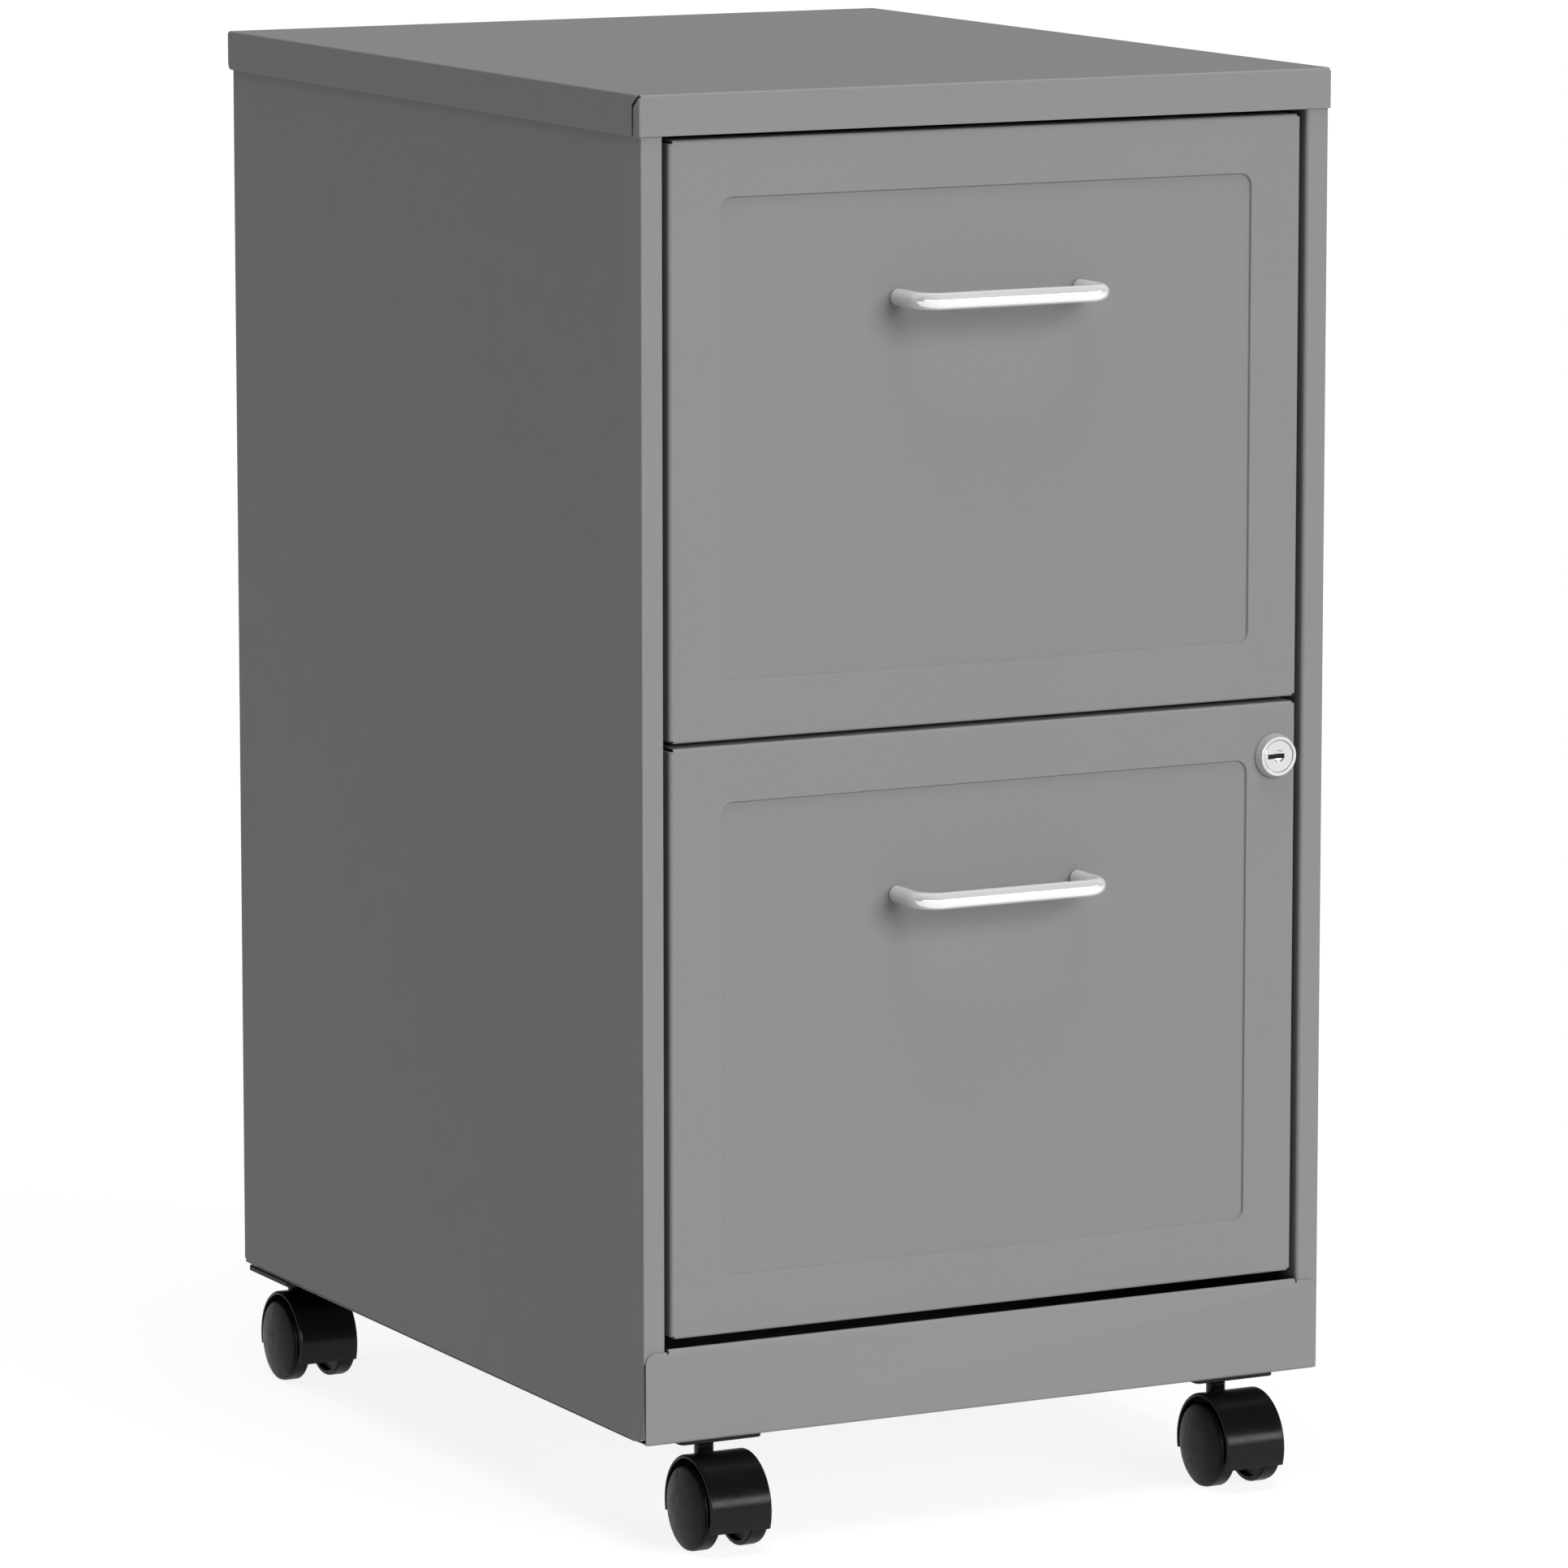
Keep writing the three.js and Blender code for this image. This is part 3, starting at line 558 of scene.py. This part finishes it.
def side_panel(hand, side):
    """The side, its stile and back flange with their returns, and the foot flange between reliefs."""
    node_name = f"{hand}_side_panel"
    low, high, _ = box_of(node_name)
    outer = high.x if side > 0 else -low.x
    inner = outer - STILE
    front, back, bottom, top = low.y, high.y, low.z, high.z
    r = BEND
    folds = fold_path([(STILE, TIGHT_BEND), (RETURN, WIDE_BEND)])
    # a fold's section, drawn outwards from the side's face, gives the plan of the front and back edges
    front_plan = [(outer + w, front - out) for out, w in folds]
    back_plan = [(outer + w, back + out) for out, w in folds]
    relief_end = front + FRONT_RELIEF_END
    seam_end = front + 2 * TAB
    foot = (front + RETURN + 1 * MM, back - RETURN - 1 * MM)
    rear_relief = back - REAR_RELIEF_END
    step = COLUMN_STEP
    raised = bottom + FOOT_RELIEF
    # behind the kick plate's flat edges the stile is cut back, which leaves a slit beside the plate
    _, kick_high, _ = box_of("kick_plate")
    kick_corner = kick_high.z - KICK_LAP - KICK_CORNER
    slit = kick_high.x + KICK_SLIT
    stile_plan = [point for point in front_plan if point[0] < slit]
    edge_plan = [point for point in front_plan if point[0] > slit]
    # each column is a vertical line of the sheet: its plan, its lower end and its upper end
    columns = [(x, y, kick_corner, top - SEAM_VOID) for x, y in reversed(stile_plan)]
    columns += [
        (slit - step, front, kick_corner, top - SEAM_VOID),
        (slit, front, raised, top - SEAM_VOID),
    ]
    columns += [(x, y, raised, top - SEAM_VOID) for x, y in reversed(edge_plan)]
    columns += [
        (outer, relief_end, raised, top - SEAM_VOID),
        (outer, relief_end + step, bottom, top - SEAM_VOID),
        (outer, seam_end - step, bottom, top - SEAM_VOID),
        (outer, seam_end, bottom, top),
        (outer, foot[0] - step, bottom, top),
        (outer, foot[0], bottom + r, top),
        (outer, foot[1], bottom + r, top),
        (outer, foot[1] + step, bottom, top),
        (outer, rear_relief - step, bottom, top),
        (outer, rear_relief, raised, top),
    ]
    columns += [(x, y, raised, top) for x, y in back_plan]
    polygons = strips([
        [Vector((side * x, y, lower)) for x, y, lower, _ in columns],
        [Vector((side * x, y, upper)) for x, y, _, upper in columns],
    ])
    foot_path = [(outer + w, bottom - out) for out, w in fold_path([(STILE, BEND)])]
    polygons += strips([[Vector((side * x, y, z)) for y in foot] for x, z in foot_path])
    made = dress(mesh_of(f"{hand}_side_sheet", polygons, X * side), "grey_paint", SHEET)
    place(made, "case", node_name)


def back_panel():
    low, high, _ = box_of("back_panel")
    polygons = pan(
        Vector((high.x, high.y, low.z)), -X, Z, (high.x - low.x, high.z - low.z), {},
        BACK_PRESS,
    )
    made = dress(mesh_of("back_sheet", polygons, Y), "grey_paint", SHEET)
    place(made, "case", "back_panel")


def kick_plate():
    """The plate under the drawers. It laps over the stiles with round corners, hemmed in between."""
    low, high, _ = box_of("kick_plate")
    front, bottom, top = low.y, low.z, high.z
    half = high.x
    lap = top - KICK_LAP
    corner = KICK_CORNER
    opening = box_of("right_side_panel")[1].x - STILE
    notch = opening - KICK_NOTCH_GAP
    fold_half = opening - KICK_HEM_GAP
    r = BEND
    relief = top - KICK_NOTCH

    def at(x, z):
        return Vector((x, front, z))

    upper_corner = arc((half - corner, lap - corner), corner, 0, QUARTER, 8)
    right = [(half - r, bottom + KICK_FOOT), (half, bottom + KICK_FOOT), *upper_corner]
    right += [(notch, lap), (notch, relief), (fold_half, relief)]
    outline = [(half - r, bottom + r), *right, (fold_half, top - r)]
    mirrored = [(-x, z) for x, z in reversed(outline)]
    polygons = [[at(x, z) for x, z in outline + mirrored]]
    for folds, edge, direction, span in (
        ([(3 * MM, BEND), (8 * MM, BEND)], top, 1, fold_half),
        ([(10 * MM, BEND)], bottom, -1, half - r),
    ):
        path = [(front - w, edge + direction * out) for out, w in fold_path(folds)]
        polygons += strips([[Vector((x, y, z)) for x in (-span, span)] for y, z in path])
    made = dress(mesh_of("kick_sheet", polygons, -Y), "grey_paint", SHEET)
    place(made, "case", "kick_plate")


def base_panel():
    """The underside: front and rear edges turned up, and a field pressed up between the casters."""
    low, high, _ = box_of("base_panel")
    size = (high.x - low.x, high.y - low.y)
    upstand = ([(high.z - low.z, BEND)], (UPSTAND_INSET, size[0] - UPSTAND_INSET))
    polygons = pan(
        Vector((high.x, low.y, low.z)), -X, Y, size,
        {"bottom": upstand, "top": upstand},
        BASE_PRESS,
    )
    made = dress(mesh_of("base_sheet", polygons, -Z), "grey_paint", SHEET)
    place(made, "case", "base_panel")


# ---------------------------------------------------------------- drawers


def drawer_front(level):
    node_name = f"{level}_drawer_front"
    low, high, _ = box_of(node_name)
    depth = high.y - low.y
    side_folds = [(depth, WIDE_BEND), (DRAWER_LIP, BEND)]
    polygons = pan(
        low, X, Z, (high.x - low.x, high.z - low.z),
        {
            "left": (side_folds, None),
            "right": ([(depth, WIDE_BEND)] if level == "lower" else side_folds, None),
            "bottom": ([(depth, BEND)], None),
            "top": ([(depth, BEND)], None),
        },
        DRAWER_PRESS,
    )
    made = mesh_of(f"{level}_drawer_face", polygons, -Y)
    place(dress(made, "grey_paint", SHEET), f"{level}_drawer", node_name)


def handle(level):
    """A rod bent at both ends, its feet in the pressed field."""
    node_name = f"{level}_handle"
    low, high, middle = box_of(node_name)
    half = high.x - HANDLE_ROD
    grip = low.y + HANDLE_ROD
    foot = high.y
    r = HANDLE_BEND
    bend_left = arc((-half + r, grip + r), r, 2 * QUARTER, 3 * QUARTER, 14)
    bend_right = arc((half - r, grip + r), r, 3 * QUARTER, 4 * QUARTER, 14)
    points = [Vector((-half, foot)), *bend_left, *bend_right, Vector((half, foot))]
    sides = 40
    rings = []
    for i, point in enumerate(points):
        before, after = points[max(i - 1, 0)], points[min(i + 1, len(points) - 1)]
        heading = (after - before).normalized()
        across = Vector((-heading.y, heading.x, 0))
        centre = Vector((point.x, point.y, middle.z))
        angles = (2 * math.pi * j / sides for j in range(sides))
        rings.append([centre + (across * math.cos(a) + Z * math.sin(a)) * HANDLE_ROD for a in angles])
    polygons = [*strips(rings, closed=True), rings[0], rings[-1]]
    made = dress(mesh_of(f"{level}_handle_rod", polygons), "chrome", edge=0.3 * MM)
    place(made, f"{level}_drawer", node_name)


def turned(name, profile, face):
    """A piece of the lock, turned from (radius, distance behind the face) in millimetres."""
    return lathe(name, [(radius * MM, y * MM) for radius, y in profile], "y", face)


def lock():
    """The lock's barrel, and its plug with a dished, off-centre keyway."""
    low, high, middle = box_of("lock_barrel")
    face = Vector((middle.x, low.y, middle.z))
    bore, mouth, thread = 5.8, 7.8, 8
    ledge, rim_back, end = 1.7, 4.2, (high.y - low.y) / MM
    barrel = turned(
        "lock_barrel_turning",
        [
            (bore, ledge), (mouth, ledge), (mouth, 0.15), (7.95, 0), (9.2, 0), (9.5, 0.25),
            (10.6, 4), (10.65, rim_back), (thread, rim_back), (thread, end), (bore, end),
            (bore, ledge),
        ],
        face,
    )
    place(dress(barrel, "nickel"), "lower_drawer", "lock_barrel")

    plug_head, shank, shank_end = 7.6, 5.5, 22.3
    plug = turned(
        "lock_plug_turning",
        [
            (0, 1.2), (2.6, 1.2), (3.1, 0.3), (7.35, 0.3), (plug_head, 0.5), (plug_head, 1.4),
            (shank, 1.4), (shank, shank_end), (0, shank_end),
        ],
        face,
    )
    # boxes round the middle of the face, in millimetres; a block of wafers fills the back of the keyway,
    # painted black as painted shade so the slot reads dark
    keyway = block(
        "cutter", face + Vector((-5.9, -1, -1.15)) * MM, face + Vector((3.1, 12, 1.15)) * MM
    )
    place(dress(carve(plug, keyway), "nickel"), "lock_core", "lock_plug")
    keyway_shade_block = block(
        "lock_plug_wafers_painted_shade", face + Vector((-5.8, 1.3, -1.1)) * MM, face + Vector((3, 12, 1.1)) * MM
    )
    # painted shade: the wafers get black paint so the back of the keyway looks dark
    place(dress(keyway_shade_block, "black_paint"), "lock_core", "lock_plug")

    half = 3 * MM
    signs = ((-1, -1), (1, -1), (1, 1), (-1, 1))
    corners = [(middle.x + a * half, middle.z + b * half) for a, b in signs]
    drive_end = box_of("lock_plug")[1].y
    drive = prism("lock_plug_drive", corners, "y", low.y + 22 * MM, drive_end)
    place(dress(drive, "nickel"), "lock_core", "lock_plug")


# ---------------------------------------------------------------- casters


def caster_lines(caster):
    """The middle of a caster's axle, and the foot of its stem's line."""
    axle = box_of(f"{caster}_axle")[2]
    hood = box_of(f"{caster}_hood")[2]
    return axle, Vector((hood.x, axle.y + STEM_TRAIL, 0))


def caster_plate(caster):
    """The plate, and the collar and stem that hang from it."""
    node_name = f"{caster}_plate"
    low, high, _ = box_of(node_name)
    _, stem_line = caster_lines(caster)
    under = high.z - PLATE_SHEET
    outline = rounded_loop((low.x, low.y), (high.x, high.y), PLATE_CORNER)
    made = prism(f"{node_name}_sheet", outline, "z", under, high.z)
    place(dress(made, "black_paint", edge=0.4 * MM), "case", node_name)
    stem = [
        (0, under + 0.5 * MM),
        (COLLAR_RADIUS, under + 0.5 * MM),
        (COLLAR_RADIUS, under - 1.2 * MM),
        (4.6 * MM, under - 2.8 * MM),
        (4.3 * MM, under - 3.9 * MM),
        (STEM_RADIUS, under - 3.9 * MM),
        (STEM_RADIUS, STEM_FOOT),
        (0, STEM_FOOT),
    ]
    made = lathe(f"{caster}_stem", stem, "z", stem_line)
    place(dress(made, "black_paint", edge=0.25 * MM), "case", node_name)


def caster_hood(caster):
    """The fender over both wheels, with round shoulders, and the web and boss that carry it."""
    node_name = f"{caster}_hood"
    low, high, _ = box_of(node_name)
    axle, stem_line = caster_lines(caster)
    half = (high.x - low.x) / 2
    inner = HOOD_RADIUS - HOOD_SHEET
    shoulder = HOOD_SHOULDER
    right = arc((half - shoulder, HOOD_RADIUS - shoulder), shoulder, 0, QUARTER, 6)
    section = [Vector((half - 0.5 * MM, inner)), Vector((half, inner + 0.4 * MM)), *right]
    section += [Vector((-x, radius)) for x, radius in reversed(section)]
    steps = 56
    rows = []
    for i in range(steps + 1):
        ring = []
        for x, radius in section:
            # the front end is cut off level
            sweep = math.pi + math.asin(HOOD_SKIRT / radius) - HOOD_START
            angle = HOOD_START + sweep * i / steps
            ring.append(axle + X * x + (Y * math.cos(angle) + Z * math.sin(angle)) * radius)
        rows.append(ring)
    fender = mesh_of(f"{caster}_fender", [*strips(rows, closed=True), rows[0], rows[-1]])
    place(dress(fender, "hood_plastic", edge=0.35 * MM), caster, node_name)

    web_end = math.pi + math.asin(HOOD_SKIRT / inner)
    web = [
        Vector((point[0] + axle.y, point[1] + axle.z))
        for point in arc((0, 0), inner + 0.8 * MM, HOOD_START, web_end, 48)
    ]
    made = prism(f"{caster}_web", web, "x", axle.x - WEB_HALF, axle.x + WEB_HALF)
    place(dress(made, "hood_plastic", edge=0.4 * MM), caster, node_name)
    boss = [
        (0, 34 * MM),
        (BOSS_RADIUS, 34 * MM),
        (BOSS_RADIUS, 46.4 * MM),
        (4.1 * MM, 46.9 * MM),
        (0, 46.9 * MM),
    ]
    made = lathe(f"{caster}_boss", boss, "z", stem_line)
    place(dress(made, "hood_plastic", edge=0.2 * MM), caster, node_name)


def caster_wheel(caster, wheel_hand, side):
    """A wheel: a domed cover with a lip, a tread, and the flat inner side round its hub."""
    body = f"{caster}_{wheel_hand}_wheel"
    low, high, _ = box_of(body)
    axle = box_of(f"{caster}_axle")[2]
    inner, outer = sorted((abs(low.x - axle.x), abs(high.x - axle.x)))
    tread_edge = outer - 2.5 * MM
    lip = WHEEL_RADIUS - 0.5 * MM
    dome = []
    for i in range(11):
        t = 1 - i / 10
        dome.append((COVER_RADIUS * t, tread_edge + 0.3 * MM + COVER_RISE * (1 - t**2.4)))
    profile = [
        (0, inner + 5.6 * MM),
        (3.3 * MM, inner + 5.6 * MM),
        (3.3 * MM, 8.2 * MM),
        (6.5 * MM, 8.2 * MM),
        (6.5 * MM, inner + 3 * MM),
        (17.2 * MM, inner + 2.4 * MM),
        (17.6 * MM, inner),
        (WHEEL_RADIUS - 0.6 * MM, inner),
        (WHEEL_RADIUS, inner + 0.8 * MM),
        (WHEEL_RADIUS, tread_edge - 1.6 * MM),
        (lip, tread_edge - 1 * MM),
        (lip, tread_edge - 0.7 * MM),
        (WHEEL_RADIUS - 0.3 * MM, tread_edge - 0.4 * MM),
        (WHEEL_RADIUS - 0.9 * MM, tread_edge + 0.1 * MM),
        *dome,
    ]
    made = lathe(f"{body}_moulding", [(radius, side * x) for radius, x in profile], "x", axle, 96)
    place(dress(made, "wheel_plastic", edge=0.15 * MM), body, body)


# ---------------------------------------------------------------- assembly

top_cap()
back_panel()
kick_plate()
base_panel()
for hand, side in HANDS.items():
    side_panel(hand, side)
for end in ENDS:
    for hand in HANDS:
        caster = f"{end}_{hand}_caster"
        caster_plate(caster)
        caster_hood(caster)
        for wheel_hand, wheel_side in HANDS.items():
            caster_wheel(caster, wheel_hand, wheel_side)
for level in LEVELS:
    drawer_front(level)
    handle(level)
lock()

# the CAD pieces that stay get their slot's finish, and their sharp edges a small bevel
slots = {part["node"]: part["material_slot"] for part in frame["record"]["subparts"]}
for name, cad in frame["nodes"].items():
    cad.data.materials.clear()
    cad.modifiers.new("weld", "WELD").merge_threshold = 1e-6
    planar = cad.modifiers.new("planar", "DECIMATE")
    planar.decimate_type = "DISSOLVE"
    planar.angle_limit = math.radians(0.5)
    dress(cad, slots[name], edge=0.15 * MM)

# ---------------------------------------------------------------- stage


def floor():
    size = 40
    corners = [Vector((x * size, y * size, 0)) for x, y in ((-1, -1), (1, -1), (1, 1), (-1, 1))]
    made = mesh_of("floor", [corners], Z)
    material, tree, shader, coordinates = new_material("pale_floor")
    tone = mix_colours(tree, noise(tree, coordinates, 2, 3), grey(0.085), grey(0.095))
    tree.links.new(tone, shader.inputs["Base Color"])
    shader.inputs["Roughness"].default_value = 0.9
    shader.inputs["Specular IOR Level"].default_value = 0.1
    shader.inputs["Emission Color"].default_value = (1, 1, 1, 1)
    shader.inputs["Emission Strength"].default_value = 0.88
    made.data.materials.append(material)


def sun(name, towards, strength, angle):
    """A very soft light that shines along a direction, and that is not mirrored in the pieces."""
    light = bpy.data.lights.new(name, "SUN")
    light.energy = strength
    light.angle = math.radians(angle)
    made = bpy.data.objects.new(name, light)
    made.rotation_euler = Vector(towards).to_track_quat("-Z", "Y").to_euler()
    made.visible_glossy = False
    bpy.context.scene.collection.objects.link(made)


def studio():
    floor()
    sun("key", (-0.27, 0.88, -0.33), 4.0, 34)
    sun("overhead", (0.06, 0.15, -1), 3.85, 40)
    # the walls glow near the floor and darken upwards, and reflections alone show a strip light
    # in front
    world = bpy.data.worlds.new("studio")
    world.use_nodes = True
    tree = world.node_tree
    direction = node(tree, "ShaderNodeTexCoord").outputs["Generated"]
    axes = node(tree, "ShaderNodeSeparateXYZ", {"Vector": direction})
    height = axes.outputs["Z"]
    glow = spread(tree, height, *GLOW, *WALL_FADE)
    strip = node(tree, "ShaderNodeLightPath").outputs["Is Glossy Ray"]
    for value, low, high, start, end in (
        (height, 0, STRIP_GLOW, *STRIP_FOOT),
        (height, 1, 0, *STRIP_HEAD),
        (axes.outputs["Y"], 1, 0, *STRIP_FRONT),
    ):
        edge = spread(tree, value, low, high, start, end)
        strip = node(tree, "ShaderNodeMath", {0: strip, 1: edge}, operation="MULTIPLY").outputs[0]
    lit = node(tree, "ShaderNodeMath", {0: glow, 1: strip}, operation="ADD").outputs[0]
    tree.links.new(lit, tree.nodes["Background"].inputs["Strength"])
    tree.nodes["Background"].inputs["Color"].default_value = (1, 1, 1, 1)
    bpy.context.scene.world = world
    bpy.context.scene.view_settings.view_transform = "Standard"


def camera():
    lens = bpy.data.cameras.new("camera")
    lens.lens = LENS
    lens.clip_end = 200
    made = bpy.data.objects.new("camera", lens)
    made.location = CAMERA_PLACE
    made.rotation_euler = (math.radians(90 - CAMERA_TILT), 0, math.radians(-CAMERA_TURN))
    bpy.context.scene.collection.objects.link(made)
    bpy.context.scene.camera = made


studio()
camera()
